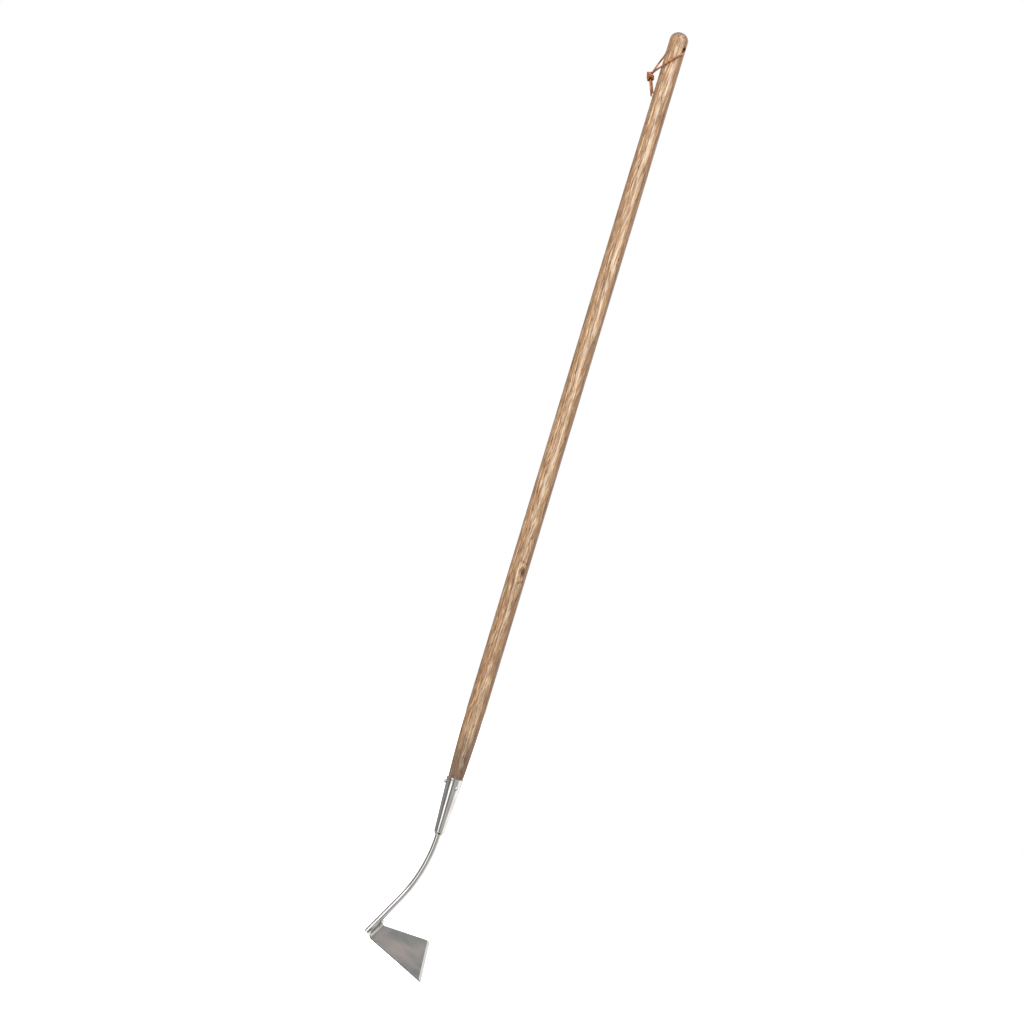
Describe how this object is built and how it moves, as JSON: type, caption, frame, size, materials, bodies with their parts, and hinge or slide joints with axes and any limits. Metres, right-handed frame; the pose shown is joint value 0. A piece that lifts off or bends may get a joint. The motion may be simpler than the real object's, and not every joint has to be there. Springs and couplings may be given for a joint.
{
  "type": "razor hoe",
  "caption": "Long-handled draw hoe: round ash handle in a conical polished steel socket, bent round neck, flat angled trapezoid blade with one ground edge, leather hanging thong.",
  "frame": {"origin": "on the handle's axis, in the middle of the stretch that a wall clip grips, 950 mm above the foot of the socket", "axes": "+Z along the handle's axis towards its rounded top; the neck bends towards -X; the blade's pointed corner lies towards -Y"},
  "size_m": [0.1078, 0.0894, 1.5386],
  "materials": {
    "ash_wood": "oiled, turned smooth",
    "polished_stainless": "mirror-polished",
    "ground_stainless": "satin-polished plate",
    "weld_bead": "dressed weld with heat tint",
    "tan_leather": "waxed lace"
  },
  "bodies": {
    "root": {"handle": "ash_wood", "socket": "polished_stainless", "socket_pins": "polished_stainless", "socket_plug": "polished_stainless", "neck": "polished_stainless", "blade": "ground_stainless", "blade_weld": "weld_bead", "thong_front": "tan_leather", "thong_back": "tan_leather", "thong_knot": "tan_leather", "thong_tail_long": "tan_leather", "thong_tail_short": "tan_leather"}
  },
  "joints": []
}
